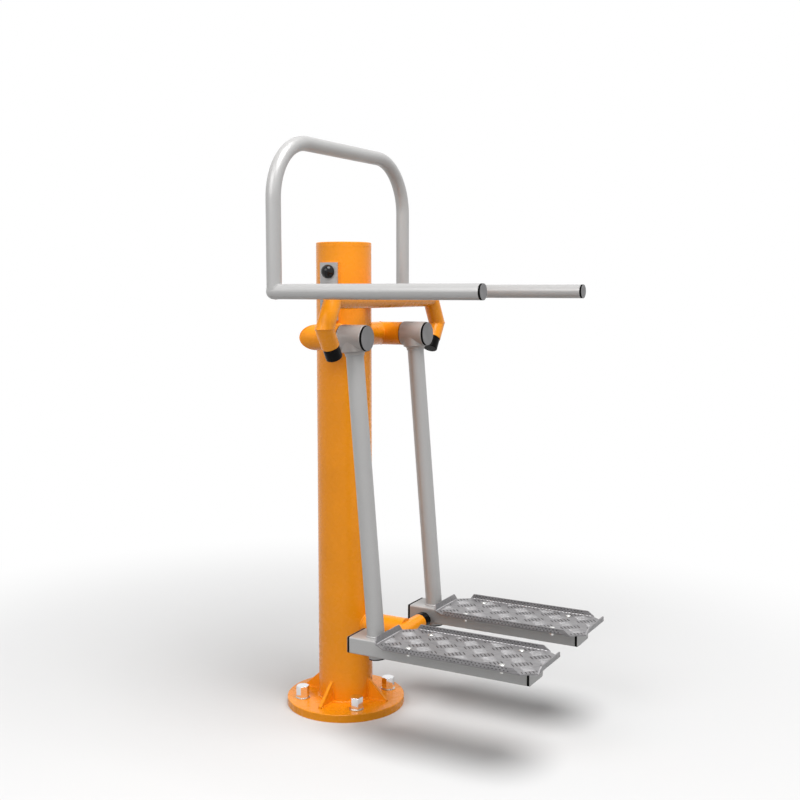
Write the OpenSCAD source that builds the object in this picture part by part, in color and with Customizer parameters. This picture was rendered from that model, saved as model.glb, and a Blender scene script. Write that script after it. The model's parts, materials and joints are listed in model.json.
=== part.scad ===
// Outdoor adductor and abductor.
// A round post on a foot flange carries a cross tube, and a pendulum arm with a
// foot tray hangs from a ball-bearing hub at each end of it. Each arm swings
// sideways between a rubber stop at the foot and a rubber stop beside its hub.
// A handrail hoop with two forward bars is bolted to the sides of the post.
// Millimetres, Z up. The user stands on the -Y side, which is called forward:
// a size ending in _fwd is a distance from the post's axis toward -Y.
// The origin is on the ground, at the centre of the foot flange.

/* [Post and foot] */
// Outer diameter of the post
post_d = 139.7; // [130:0.1:150]
// Wall of the post
post_wall = 4; // [3:0.5:8]
// Height of the post's top above the ground, with its cap
post_h = 1195; // [1170:1:1260]
// Thickness of the post's cap
cap_t = 10; // [6:1:16]
// Diameter of the foot flange
base_d = 306; // [290:1:340]
// Thickness of the foot flange
base_t = 20; // [12:1:30]
// Diameter of the circle that the anchor holes lie on
anchor_pcd = 230; // [216:1:240]
// Diameter of the anchor holes
anchor_hole_d = 22; // [21:0.5:26]
// Reach of a gusset from the post's surface
gusset_reach = 54; // [40:1:65]
// Height of a gusset above the foot flange
gusset_h = 54; // [40:1:90]
// Thickness of a gusset
gusset_t = 8; // [6:1:12]

/* [Cross tube and hubs] */
// Height of the swing axes above the ground
hub_z = 962.5; // [940:0.5:980]
// Distance of each swing axis from the middle
hub_x = 153; // [145:1:165]
// Outer diameter of the cross tube
axle_tube_d = 60.3; // [57:0.1:62]
// Wall of the cross tube
axle_tube_wall = 3; // [2.5:0.5:5]
// Forward distance of the cross tube's straight middle
axle_tube_fwd = 18.5; // [12:0.5:28]
// Forward distance of the cross tube's open ends
axle_end_fwd = 88; // [82:0.5:96]
// Running gap between the cross tube's end and the hub
hub_gap = 2.5; // [1.5:0.1:4]
// Outer diameter of the hub sleeve
hub_d = 63.5; // [62:0.1:66]
// Length of the hub sleeve
hub_len = 64.5; // [62:0.5:67]
// Depth of the flared arm socket below the swing axis, along the arm
boss_drop = 40.6; // [38:0.1:48]

/* [Bearings] */
// Outer diameter of a ball bearing
bearing_d = 47; // [45:0.5:49]
// Bore of a ball bearing, which the axle fills
bearing_bore = 25; // [23:0.5:26]
// Width of a ball bearing
bearing_w = 12; // [11:0.5:14]
// Diameter of a ball
ball_d = 6.8; // [6:0.1:7]
// Balls in each bearing
ball_count = 9; // [7:1:11]
// Length of the spacer between the two bearings of a hub
spacer_len = 21.5; // [16:0.5:24]

/* [Arms and beams] */
// Outer diameter of a pendulum arm
arm_d = 42.4; // [40:0.1:45]
// Wall of a pendulum arm
arm_wall = 3; // [2:0.5:5]
// Forward lean of an arm, in degrees from vertical
arm_lean = 4.8; // [2:0.1:7]
// Length of arm that shows below the beam
arm_stub = 12.6; // [8:0.1:20]
// Drop from the swing axis to the top of the beam
beam_drop = 715.9; // [680:0.1:730]
// Width of the beam
beam_w = 80; // [70:1:90]
// Height of the beam
beam_h = 40; // [34:1:50]
// Wall of the beam
beam_wall = 3; // [2:0.5:5]
// Length of the beam with its end closures
beam_len = 471.5; // [440:0.5:520]

/* [Treads] */
// Width of a tread over its turned-up sides
tread_w = 180; // [168:1:200]
// Length of a tread over its turned-up ends
tread_len = 412; // [380:1:418]
// Thickness of the tread sheet
tread_t = 3; // [2:0.5:5]
// Overhang of the tread past the front of the beam
tread_over = 31.8; // [20:0.1:50]
// Height of the side lips above the tread's surface
side_lip_h = 12; // [8:1:20]
// Height of the end lips above the tread's surface
end_lip_h = 14; // [8:1:20]
// Outward lean of the end lips, in degrees from vertical
end_lip_lean = 12; // [0:1:25]
// Width of the cut at each corner of the tread
corner_w = 25; // [15:1:32]
// Length of the cut at each corner of the tread
corner_l = 33; // [20:1:45]

/* [Stops] */
// Outer diameter of the stop tubes
stop_tube_d = 42.4; // [40:0.1:45]
// Wall of the stop tubes
stop_wall = 3; // [2:0.5:5]
// Diameter of the stem that carries the upper stop
upper_stem_d = 38; // [30:0.5:39]
// Rise of the upper stop's crossbar above the swing axes
upper_rise = 91; // [84:0.5:98]
// Distance of the crossbar's mitre outward of the swing axis
upper_corner_out = 90; // [80:0.5:100]
// Distance of the knee outward of the swing axis
upper_knee_out = 126.8; // [118:0.1:134]
// Rise of the knee above the swing axes
upper_knee_rise = 25.2; // [18:0.1:34]
// Inward slope of the lower leg, in degrees from vertical
upper_leg_angle = 31.4; // [26:0.1:38]
// Length of the lower leg's tube, from the knee
upper_leg = 47; // [44:0.5:56]
// Length of an upper rubber cap outside its tube
upper_cap_len = 32; // [24:0.5:36]
// Diameter of the stem that carries the lower stop
lower_stem_d = 60.3; // [50:0.1:64]
// Gap between a lower rubber cap and the beam at rest
lower_gap = 13; // [8:0.5:20]
// Length of a lower rubber cap outside its tube
lower_cap_len = 27; // [20:0.5:35]

/* [Handrail] */
// Outer diameter of the handrail tube
rail_d = 35.2; // [34.5:0.1:38]
// Wall of the handrail tube
rail_wall = 2.5; // [2:0.5:4]
// Distance of the uprights and the forward bars from the middle
rail_x = 305; // [290:1:330]
// Forward distance of the uprights
rail_fwd = 2; // [0:0.5:8]
// Rise of the forward bars above the swing axes
rail_rise = 110.1; // [106:0.1:125]
// Rise of the hoop's top bar above the swing axes
hoop_rise = 458.6; // [430:0.1:520]
// Centreline radius of the hoop's bends
hoop_bend_r = 138; // [90:1:200]
// Forward distance of the forward bars' cut ends
handle_end_fwd = 523; // [450:1:560]
// Diameter of the arms between the post and the uprights
cross_arm_d = 33.7; // [30:0.1:34]
// Width of a mounting plate
plate_w = 50; // [44:1:60]
// Height of a mounting plate
plate_h = 143; // [138:1:150]
// Thickness of a mounting plate
plate_t = 5; // [4:0.5:10]
// Distance between the two studs
stud_pitch = 98; // [90:1:103]
// Diameter of a stud
stud_d = 12; // [10:0.5:12.5]

/* [Hidden] */

$fn = 72;
left = -1;
right = 1;

// Length by which every cut runs past what it cuts
overrun = 1;
// Width of a nut's flat top, as a share of its width across flats
hex_top_share = 0.95;
hex_sides = 6;

// Post and foot
post_r = post_d / 2;
post_bore_r = post_r - post_wall;
edge_chamfer = 1.5;
cap_spigot = 12;
anchor_count = 4;
gusset_count = 4;
gusset_toe = 4;
anchor_washer_d = 37;
anchor_washer_t = 3;
anchor_nut_af = 30;
anchor_nut_h = 30;
anchor_nut_roof = 6;
anchor_thread_d = 20;

// Cross tube and hubs, as forward distances
axle_tube_bore_r = axle_tube_d / 2 - axle_tube_wall;
axle_plug_t = 12;
seal_room = 3;
hub_back = axle_end_fwd + hub_gap;
hub_front = hub_back + hub_len;
bearing_a = hub_back + seal_room;
bearing_b = bearing_a + bearing_w + spacer_len;
bearing_end = bearing_b + bearing_w;

// Bearing section, from the ball circle outward and inward
pitch_r = (bearing_d + bearing_bore) / 4;
race_inset = 1.8;
groove_clearance = 0.15;
groove_r = ball_d / 2 + groove_clearance;
inner_race_r = pitch_r - race_inset;
outer_race_r = pitch_r + race_inset;
shoulder = 3;
collar_r = bearing_bore / 2 + shoulder;
hub_shoulder_r = bearing_d / 2 - shoulder;
shield_t = 0.8;
shield_inset = 0.4;
seal_gap = 0.3;

// Axle end fixings
clamp_gap = 0.5;
axle_washer_t = 3;
axle_bolt_d = 10;
axle_bolt_len = 28;
axle_bolt_af = 17;
axle_head_h = 6.4;
axle_tap_spare = 4;
washer_gap = 0.25;

// Hub closures
hub_chamfer = 1;
hub_ring_inset = 1.45;
hub_ring_t = 5.2;
hub_disc_inset = 2.25;
hub_disc_t = 0.8;
hub_plug_len = 5;
hub_plug_wall = 3;
hub_plug_gap = 0.1;
hub_ring_bore_r = bearing_d / 2 - hub_plug_gap - hub_plug_wall;

// Flared arm socket, measured along the arm from the swing axis
boss_inset = 1.75;
boss_set = 0.3;
boss_lip = 1.1;
boss_mouth_wall = 1.8;
boss_r = hub_len / 2 - boss_inset;
boss_mouth_r = arm_d / 2 + boss_mouth_wall;
boss_flare_r = boss_r - boss_mouth_r;
socket_roof = 1.75;
arm_top = hub_d / 2 - socket_roof;
arm_fwd = hub_back + boss_r + boss_set;

// Arm and beam
arm_foot = (beam_drop + beam_h + arm_stub) / cos(arm_lean);
foot_plug_t = 3;
foot_plug_spigot = 12;
beam_set = 2.4;
beam_back = arm_fwd + beam_set;
beam_front = beam_back + beam_len;
beam_corner_r = 4;
beam_seal_t = 5.5;
beam_seal_border = 10;
beam_seal_plug = 8;
beam_seal_plug_wall = 4;
beam_plate_t = 1;
beam_closure = beam_seal_t + beam_plate_t;

// Tread: the flat lies inside the bend lines, and the lips turn up from them
fold_r = 2;
fold_out = fold_r + tread_t;
fold_steps = 6;
tread_front = beam_front + tread_over;
tread_back = tread_front - tread_len;
lip_trim_back = 9.5;
lip_trim_front = 18;
end_lip_trim = 11;
bolt_from_back = 86;
bolt_from_front = 91;
bolt_out = 16;
bolt_x = beam_w / 2 + bolt_out;
bolt_stations = [tread_back + bolt_from_back, tread_front - bolt_from_front];
tread_bolt_d = 8;
tread_head_d = 14;
tread_head_h = 3.5;
tread_head_chamfer = 1.2;
tread_nut_af = 13;
tread_nut_h = 6.5;
tread_bolt_proud = 3;
lug_out = 28;
lug_len = 30;
lug_t = 4;

// Stops
stop_r = stop_tube_d / 2;
stop_bore_r = stop_r - stop_wall;
stop_set = 0.6;
stop_fwd = arm_fwd + stop_set;
stop_spigot = 20;
upper_cap_inset = 1.5;
upper_cap_chamfer = 1.5;
lower_cap_chamfer = 1.5;
lower_stop_set = 54.8;
lower_stop_fwd = beam_back + lower_stop_set;
lower_stop_low = 9.1;
lower_stop_z = hub_z - beam_drop - beam_h / 2 - lower_stop_low;
lower_cap_end = hub_x - beam_w / 2 - lower_gap;
lower_tube_end = lower_cap_end - lower_cap_len;

// Handrail
rail_r = rail_d / 2;
rail_bore_r = rail_r - rail_wall;
rail_z = hub_z + rail_rise;
rail_dome_set = 1.6;
hoop_z = hub_z + hoop_rise;
pad_proud = 0.5;
pad_gap = 0.1;
// A pad is so thin in its middle that its hollow needs finer steps than $fn
saddle_fn = 240;
plate_inner = post_r + pad_proud;
plate_outer = plate_inner + plate_t;
cross_arm_wall = 2.5;
stud_hole_gap = 0.5;
stud_washer_d = 24;
stud_washer_t = 2.5;
stud_nut_af = 19;
stud_nut_h = 10;
stud_proud = 1;
dome_d = 34;
dome_wall = 2;
dome_skirt = 3;
end_ring_t = 4.9;
end_ring_bore_d = 20;
end_spigot = 12;
end_disc_t = 0.8;

function unit(v) = v / norm(v);

// Section of a turned ring: inner and outer radius, first and last station
function band(inner, outer, from, to) = [[inner, from], [outer, from], [outer, to], [inner, to]];

// Direction of one stretch of a flat path, and the turn at one of its points, in degrees
function heading(points, i) =
    let (way = points[i + 1] - points[i])
    atan2(way[1], way[0]);
function turn(points, i) =
    i == 0 || i == len(points) - 1 ? 0
    : let (before = points[i] - points[i - 1], after = points[i + 1] - points[i])
        atan2(before[0] * after[1] - before[1] * after[0], before * after);

// The same path with both of its ends moved outward
function lengthened(points, extra) =
    let (last = len(points) - 1)
    [for (i = [0:last])
        i == 0 ? points[0] - extra * unit(points[1] - points[0])
        : i == last ? points[last] + extra * unit(points[last] - points[last - 1])
        : points[i]];

// Block that clears everything past a mitre plane through the local origin.
// The plane is turned by the given angle, and its clear side is local +X.
module past_mitre(angle, d) {
    far = 2 * d;
    rotate([0, 0, angle])
        translate([0, -far, -far])
            cube([far, 2 * far, 2 * far]);
}

// Solid bar along one straight stretch of a flat path, cut square at the path's
// ends and at its mitre planes elsewhere
module mitred_stretch(points, i, d) {
    run = norm(points[i + 1] - points[i]);
    translate(points[i])
        rotate([0, 0, heading(points, i)])
            difference() {
                rod_side(d, -d, run + d);
                mirror([1, 0, 0])
                    past_mitre(turn(points, i) / 2, d);
                translate([run, 0, 0])
                    past_mitre(turn(points, i + 1) / 2, d);
            }
}

module mitred_bar(points, d) {
    for (i = [0:len(points) - 2])
        mitred_stretch(points, i, d);
}

// Solid turned about the vertical axis, from points of radius and height
module turned_up(points) {
    rotate_extrude()
        polygon(points);
}

// Solid turned about a forward axis, from points of radius and forward distance
module turned_fwd(points) {
    rotate([90, 0, 0])
        turned_up(points);
}

// Solid turned about a sideways axis, from points of radius and distance along X
module turned_side(points) {
    rotate([0, 90, 0])
        turned_up(points);
}

// Straight round bars between two forward distances, and between two sideways ones
module rod_fwd(d, from, to) {
    turned_fwd(band(0, d / 2, from, to));
}

module rod_side(d, from, to) {
    turned_side(band(0, d / 2, from, to));
}

// Planes that flat paths are drawn in: X and Z, and forward distance and Z
module in_front_plane() {
    rotate([90, 0, 0])
        children();
}

module in_side_plane() {
    rotate([0, 0, -90])
        in_front_plane()
            children();
}

module both_sides() {
    children();
    mirror([1, 0, 0])
        children();
}

module at_hub(side) {
    translate([side * hub_x, 0, hub_z])
        children();
}

// Frame of an arm, seen from its hub: the arm runs down the local Z axis
module along_arm() {
    translate([0, -arm_fwd, 0])
        rotate([-arm_lean, 0, 0])
            children();
}

module at_anchors() {
    for (i = [0:anchor_count - 1])
        rotate([0, 0, (i + 1 / 2) * 360 / anchor_count])
            translate([anchor_pcd / 2, 0, 0])
                children();
}

// Hexagon standing on the XY plane, with its top corners turned off
module hexagon(af, h) {
    corner_r = af / 2 / cos(180 / hex_sides);
    top_r = hex_top_share * af / 2;
    slope = (corner_r - top_r) * tan(180 / hex_sides);
    intersection() {
        cylinder(r = corner_r, h = h, $fn = hex_sides);
        turned_up([[0, 0], [corner_r, 0], [corner_r, h - slope], [top_r, h], [0, h]]);
    }
}

module nut(af, h, thread_d) {
    difference() {
        hexagon(af, h);
        translate([0, 0, -overrun])
            cylinder(d = thread_d, h = h + 2 * overrun);
    }
}

module half_ball(r) {
    rotate_extrude()
        intersection() {
            circle(r = r);
            square(r);
        }
}

// Bar of rectangular section with rounded edges, along a forward stretch.
// Its top is at the given height.
module rounded_beam(w, h, r, from, to, top) {
    translate([0, -from, top - h / 2])
        in_front_plane()
            linear_extrude(to - from) {
                square([w - 2 * r, h], center = true);
                square([w, h - 2 * r], center = true);
                for (sx = [-1, 1], sy = [-1, 1])
                    translate([sx * (w / 2 - r), sy * (h / 2 - r)])
                        circle(r = r);
            }
}

module base_flange() {
    r = base_d / 2;
    color("darkorange")
        difference() {
            turned_up([[0, 0], [r, 0], [r, base_t - edge_chamfer], [r - edge_chamfer, base_t],
                [0, base_t]]);
            at_anchors()
                translate([0, 0, -overrun])
                    cylinder(d = anchor_hole_d, h = base_t + 2 * overrun);
        }
}

module post() {
    color("darkorange")
        difference() {
            turned_up(band(post_bore_r, post_r, base_t, post_h - cap_t));
            translate([0, -axle_tube_fwd, hub_z])
                rod_side(axle_tube_d, -post_d, post_d);
            stud_holes();
        }
}

module post_cap() {
    seat = post_h - cap_t;
    color("orange")
        turned_up([[0, seat - cap_spigot], [post_bore_r, seat - cap_spigot], [post_bore_r, seat],
            [post_r, seat], [post_r, post_h - edge_chamfer], [post_r - edge_chamfer, post_h],
            [0, post_h]]);
}

module foot_gussets() {
    toe = post_r + gusset_reach;
    top = base_t + gusset_h;
    color("darkorange")
        difference() {
            for (i = [0:gusset_count - 1])
                rotate([0, 0, i * 360 / gusset_count])
                    in_front_plane()
                        linear_extrude(gusset_t, center = true)
                            polygon([[post_bore_r, base_t], [toe, base_t],
                                [toe, base_t + gusset_toe], [post_r, top], [post_bore_r, top]]);
            cylinder(r = post_r, h = post_h);
        }
}

module anchor_washers() {
    color("lightgray")
        at_anchors()
            turned_up(band(anchor_hole_d / 2, anchor_washer_d / 2, base_t,
                base_t + anchor_washer_t));
}

module anchor_nuts() {
    color("whitesmoke")
        at_anchors()
            translate([0, 0, base_t + anchor_washer_t])
                difference() {
                    hexagon(anchor_nut_af, anchor_nut_h);
                    translate([0, 0, -overrun])
                        cylinder(d = anchor_thread_d,
                            h = anchor_nut_h - anchor_nut_roof + overrun);
                }
}

module axle_tube() {
    path = [[-hub_x, -axle_end_fwd], [-hub_x, -axle_tube_fwd], [hub_x, -axle_tube_fwd],
        [hub_x, -axle_end_fwd]];
    color("darkorange")
        translate([0, 0, hub_z])
            difference() {
                mitred_bar(path, axle_tube_d);
                mitred_bar(lengthened(path, overrun), 2 * axle_tube_bore_r);
            }
}

// Stub axle: plug in the cross tube, collar, bearing journal and tapped end
module axle() {
    journal_end = bearing_end - clamp_gap;
    journal_r = bearing_bore / 2;
    tap_end = bearing_end + axle_washer_t - axle_bolt_len - axle_tap_spare;
    color("slategray")
        difference() {
            turned_fwd([[0, axle_end_fwd - axle_plug_t], [axle_tube_bore_r, axle_end_fwd - axle_plug_t],
                [axle_tube_bore_r, axle_end_fwd], [collar_r, axle_end_fwd], [collar_r, bearing_a],
                [journal_r, bearing_a], [journal_r, journal_end], [0, journal_end]]);
            rod_fwd(axle_bolt_d, tap_end, journal_end + overrun);
        }
}

// Both bearings of a hub, at their middles
module at_bearings() {
    for (station = [bearing_a, bearing_b])
        translate([0, -station - bearing_w / 2, 0])
            children();
}

module ball_groove() {
    rotate([90, 0, 0])
        rotate_extrude()
            translate([pitch_r, 0])
                circle(r = groove_r);
}

module bearing_inners() {
    color("silver")
        at_bearings()
            difference() {
                turned_fwd(band(bearing_bore / 2, inner_race_r, -bearing_w / 2, bearing_w / 2));
                ball_groove();
            }
}

module bearing_outers() {
    color("silver")
        at_bearings()
            difference() {
                turned_fwd(band(outer_race_r, bearing_d / 2, -bearing_w / 2, bearing_w / 2));
                ball_groove();
            }
}

module bearing_balls() {
    color("gainsboro")
        at_bearings()
            for (i = [0:ball_count - 1])
                rotate([0, i * 360 / ball_count, 0])
                    translate([pitch_r, 0, 0])
                        sphere(d = ball_d);
}

// Two shields in each outer race, and the lip seal at the back of the hub
module bearing_seals() {
    outside = bearing_w / 2 - shield_inset;
    color("black") {
        at_bearings()
            for (side = [-1, 1])
                translate([0, side * (outside - shield_t / 2), 0])
                    turned_fwd(band(inner_race_r + seal_gap, outer_race_r, -shield_t / 2,
                        shield_t / 2));
        turned_fwd(band(collar_r + seal_gap, bearing_d / 2, hub_back + shield_inset,
            bearing_a - seal_gap));
    }
}

module bearing_spacers() {
    color("slategray")
        both_sides()
            at_hub(right)
                turned_fwd(band(bearing_bore / 2, collar_r, bearing_a + bearing_w, bearing_b));
}

module axle_washers() {
    color("silver")
        both_sides()
            at_hub(right)
                turned_fwd(band(axle_bolt_d / 2 + washer_gap, collar_r, bearing_end,
                    bearing_end + axle_washer_t));
}

module axle_bolts() {
    seat = bearing_end + axle_washer_t;
    color("silver")
        both_sides()
            at_hub(right) {
                rod_fwd(axle_bolt_d, seat - axle_bolt_len, seat);
                translate([0, -seat, 0])
                    in_front_plane()
                        hexagon(axle_bolt_af, axle_head_h);
            }
}

// Half of the upper stop's path, from the crossbar's middle to the open leg end
function upper_leg_end(reach) =
    [hub_x + upper_knee_out - reach * sin(upper_leg_angle),
        hub_z + upper_knee_rise - reach * cos(upper_leg_angle)];

module upper_stop_bracket() {
    corner = [hub_x + upper_corner_out, hub_z + upper_rise];
    knee = [hub_x + upper_knee_out, hub_z + upper_knee_rise];
    leg = upper_leg_end(upper_leg);
    path = [for (p = [leg, knee, corner]) p, for (p = [corner, knee, leg]) [-p[0], p[1]]];
    color("darkorange")
        difference() {
            union() {
                translate([0, -stop_fwd, 0])
                    in_front_plane()
                        mitred_bar(path, stop_tube_d);
                translate([0, 0, hub_z + upper_rise])
                    rod_fwd(upper_stem_d, 0, stop_fwd);
            }
            translate([0, -stop_fwd, 0])
                in_front_plane()
                    mitred_bar(lengthened(path, overrun), 2 * stop_bore_r);
            translate([0, 0, hub_z + upper_rise])
                rod_fwd(upper_stem_d - 2 * stop_wall, 0, stop_fwd - stop_r);
            cylinder(r = post_r, h = post_h);
        }
}

module upper_stop_caps() {
    end = upper_leg_end(upper_leg);
    cap_r = stop_r - upper_cap_inset;
    color("black")
        both_sides()
            translate([end[0], -stop_fwd, end[1]])
                rotate([0, 180 + upper_leg_angle, 0])
                    turned_up([[0, -stop_spigot], [stop_bore_r, -stop_spigot], [stop_bore_r, 0],
                        [cap_r, 0], [cap_r, upper_cap_len - upper_cap_chamfer],
                        [cap_r - upper_cap_chamfer, upper_cap_len], [0, upper_cap_len]]);
}

module lower_stop_bracket() {
    color("darkorange")
        difference() {
            translate([0, 0, lower_stop_z]) {
                translate([0, -lower_stop_fwd, 0])
                    rod_side(stop_tube_d, -lower_tube_end, lower_tube_end);
                rod_fwd(lower_stem_d, 0, lower_stop_fwd);
            }
            translate([0, 0, lower_stop_z]) {
                translate([0, -lower_stop_fwd, 0])
                    rod_side(2 * stop_bore_r, -lower_tube_end - overrun, lower_tube_end + overrun);
                rod_fwd(lower_stem_d - 2 * stop_wall, 0, lower_stop_fwd - stop_r - stop_wall);
            }
            cylinder(r = post_r, h = post_h);
        }
}

module lower_stop_caps() {
    color("black")
        both_sides()
            translate([lower_tube_end, -lower_stop_fwd, lower_stop_z])
                turned_side([[0, -stop_spigot], [stop_bore_r, -stop_spigot], [stop_bore_r, 0],
                    [stop_r, 0], [stop_r, lower_cap_len - lower_cap_chamfer],
                    [stop_r - lower_cap_chamfer, lower_cap_len], [0, lower_cap_len]]);
}

// Forward bar. Its back end is domed and stands a little behind the upright.
module bar_shape(d, extra) {
    back = rail_fwd - rail_dome_set;
    translate([rail_x, 0, rail_z]) {
        rod_fwd(d, back, handle_end_fwd + extra);
        translate([0, -back, 0])
            rotate([-90, 0, 0])
                half_ball(d / 2);
    }
}

module hoop_bar(d) {
    straight = rail_x - hoop_bend_r;
    spring = hoop_z - hoop_bend_r;
    both_sides() {
        translate([rail_x, -rail_fwd, rail_z])
            cylinder(d = d, h = spring - rail_z);
        translate([straight, -rail_fwd, spring])
            in_front_plane()
                rotate_extrude(angle = 90)
                    translate([hoop_bend_r, 0])
                        circle(d = d);
    }
    translate([0, -rail_fwd, hoop_z])
        rod_side(d, -straight, straight);
}

module handrail_hoop() {
    color("silver")
        difference() {
            hoop_bar(rail_d);
            hoop_bar(2 * rail_bore_r);
            both_sides()
                bar_shape(rail_d, 0);
        }
}

module handle_bar() {
    color("silver")
        difference() {
            bar_shape(rail_d, 0);
            bar_shape(2 * rail_bore_r, overrun);
        }
}

module handrail_cross_arms() {
    color("silver")
        both_sides()
            difference() {
                translate([0, -rail_fwd, rail_z])
                    turned_side(band(cross_arm_d / 2 - cross_arm_wall, cross_arm_d / 2, plate_outer,
                        rail_x));
                translate([rail_x, -rail_fwd, rail_z])
                    cylinder(d = rail_d, h = cross_arm_d);
                bar_shape(rail_d, 0);
            }
}

module at_studs() {
    for (step = [-1 / 2, 1 / 2])
        translate([0, -rail_fwd, rail_z + step * stud_pitch])
            children();
}

module stud_holes() {
    at_studs()
        rod_side(stud_d + 2 * stud_hole_gap, -plate_outer - overrun, plate_outer + overrun);
}

// Block of the mounting plate's outline between two distances from the middle
module plate_block(from, to) {
    translate([from, -rail_fwd - plate_w / 2, rail_z - plate_h / 2])
        cube([to - from, plate_w, plate_h]);
}

module handrail_pads() {
    color("darkorange")
        both_sides()
            difference() {
                plate_block(post_r / 2, plate_inner);
                cylinder(r = post_r + pad_gap, h = post_h, $fn = saddle_fn);
                stud_holes();
            }
}

module handrail_plates() {
    color("silver")
        both_sides()
            difference() {
                plate_block(plate_inner, plate_outer);
                stud_holes();
            }
}

module handrail_studs() {
    end = plate_outer + stud_washer_t + stud_nut_h + stud_proud;
    color("gainsboro")
        at_studs()
            rod_side(stud_d, -end, end);
}

module handrail_washers() {
    color("gainsboro")
        both_sides()
            at_studs()
                turned_side(band(stud_d / 2, stud_washer_d / 2, plate_outer,
                    plate_outer + stud_washer_t));
}

module handrail_nuts() {
    color("gainsboro")
        both_sides()
            at_studs()
                translate([plate_outer + stud_washer_t, 0, 0])
                    rotate([0, 90, 0])
                        nut(stud_nut_af, stud_nut_h, stud_d);
}

module dome(r) {
    cylinder(r = r, h = dome_skirt);
    translate([0, 0, dome_skirt])
        half_ball(r);
}

module bolt_domes() {
    color("black")
        both_sides()
            at_studs()
                translate([plate_outer, 0, 0])
                    rotate([0, 90, 0])
                        difference() {
                            dome(dome_d / 2);
                            dome(dome_d / 2 - dome_wall);
                            translate([0, 0, -overrun])
                                cylinder(r = dome_d / 2 - dome_wall, h = 2 * overrun);
                        }
}

module at_handle_ends() {
    both_sides()
        translate([rail_x, -handle_end_fwd, rail_z])
            children();
}

module handle_end_rings() {
    bore = end_ring_bore_d / 2;
    color("black")
        at_handle_ends()
            turned_fwd([[bore, -end_spigot], [rail_bore_r, -end_spigot], [rail_bore_r, 0],
                [rail_r, 0], [rail_r, end_ring_t], [bore, end_ring_t]]);
}

module handle_end_discs() {
    bore = end_ring_bore_d / 2;
    color("dimgray")
        at_handle_ends()
            turned_fwd([[0, 0], [bore, 0], [bore, end_ring_t], [rail_r, end_ring_t],
                [rail_r, end_ring_t + end_disc_t], [0, end_ring_t + end_disc_t]]);
}

// Hub: sleeve with two bearing seats, and the flared socket that holds the arm
module hub() {
    r = hub_d / 2;
    seat_r = bearing_d / 2;
    color("silver")
        difference() {
            union() {
                turned_fwd([[0, hub_back], [r - hub_chamfer, hub_back], [r, hub_back + hub_chamfer],
                    [r, hub_front - hub_chamfer], [r - hub_chamfer, hub_front], [0, hub_front]]);
                along_arm()
                    arm_boss();
            }
            turned_fwd([[0, hub_back - overrun], [seat_r, hub_back - overrun],
                [seat_r, bearing_a + bearing_w], [hub_shoulder_r, bearing_a + bearing_w],
                [hub_shoulder_r, bearing_b], [seat_r, bearing_b], [seat_r, hub_front + overrun],
                [0, hub_front + overrun]]);
            along_arm()
                translate([0, 0, -boss_drop - overrun])
                    cylinder(d = arm_d, h = boss_drop + overrun - arm_top);
        }
}

module arm_boss() {
    flare_start = -boss_drop + boss_lip;
    rotate_extrude()
        difference() {
            translate([0, -boss_drop])
                square([boss_r, boss_drop]);
            translate([boss_r, flare_start])
                circle(r = boss_flare_r);
            translate([boss_mouth_r, -boss_drop - overrun])
                square([boss_r, boss_lip + overrun]);
        }
}

module hub_ring() {
    seat_r = bearing_d / 2 - hub_plug_gap;
    face_r = hub_d / 2 - hub_ring_inset;
    color("black")
        turned_fwd([[hub_ring_bore_r, hub_front - hub_plug_len], [seat_r, hub_front - hub_plug_len],
            [seat_r, hub_front], [face_r, hub_front], [face_r, hub_front + hub_ring_t],
            [hub_ring_bore_r, hub_front + hub_ring_t]]);
}

module hub_disc() {
    back = hub_front + hub_ring_t;
    inner_r = hub_ring_bore_r - hub_plug_wall;
    face_r = hub_d / 2 - hub_disc_inset;
    color("dimgray")
        turned_fwd([[inner_r, hub_front - hub_plug_len], [hub_ring_bore_r, hub_front - hub_plug_len],
            [hub_ring_bore_r, back], [face_r, back], [face_r, back + hub_disc_t],
            [0, back + hub_disc_t], [0, back], [inner_r, back]]);
}

module arm() {
    color("silver")
        along_arm()
            turned_up(band(arm_d / 2 - arm_wall, arm_d / 2, -arm_foot, -arm_top));
}

module arm_foot_plug() {
    bore_r = arm_d / 2 - arm_wall;
    color("black")
        along_arm()
            translate([0, 0, -arm_foot])
                turned_up([[0, -foot_plug_t], [arm_d / 2, -foot_plug_t], [arm_d / 2, 0],
                    [bore_r, 0], [bore_r, foot_plug_spigot], [0, foot_plug_spigot]]);
}

module beam_outer(from, to) {
    rounded_beam(beam_w, beam_h, beam_corner_r, from, to, -beam_drop);
}

// Solid that fits the beam's bore, smaller all round by the given inset
module beam_inner(inset, from, to) {
    border = beam_wall + inset;
    rounded_beam(beam_w - 2 * border, beam_h - 2 * border, beam_corner_r / 2, from, to,
        -beam_drop - border);
}

module beam() {
    color("silver")
        difference() {
            beam_outer(beam_back + beam_closure, beam_front - beam_closure);
            beam_inner(0, beam_back, beam_front);
            along_arm()
                translate([0, 0, -arm_foot])
                    cylinder(d = arm_d, h = arm_foot - arm_top);
        }
}

// Both ends of the beam: the children are drawn at its front end, and mirrored
// to its back end
module at_beam_ends() {
    middle = (beam_back + beam_front) / 2;
    for (end = [0, 1])
        translate([0, -middle, 0])
            mirror([0, end, 0])
                translate([0, middle, 0])
                    children();
}

module beam_end_seals() {
    front = beam_front - beam_plate_t;
    color("black")
        at_beam_ends()
            difference() {
                union() {
                    beam_outer(front - beam_seal_t, front);
                    beam_inner(0, front - beam_seal_t - beam_seal_plug, front);
                }
                beam_inner(beam_seal_plug_wall, front - beam_seal_t - beam_seal_plug - overrun,
                    front + overrun);
            }
}

module beam_end_plates() {
    front = beam_front - beam_plate_t;
    color("dimgray")
        at_beam_ends() {
            beam_outer(front, beam_front);
            beam_inner(beam_seal_plug_wall, front - beam_seal_t, front);
        }
}

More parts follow.
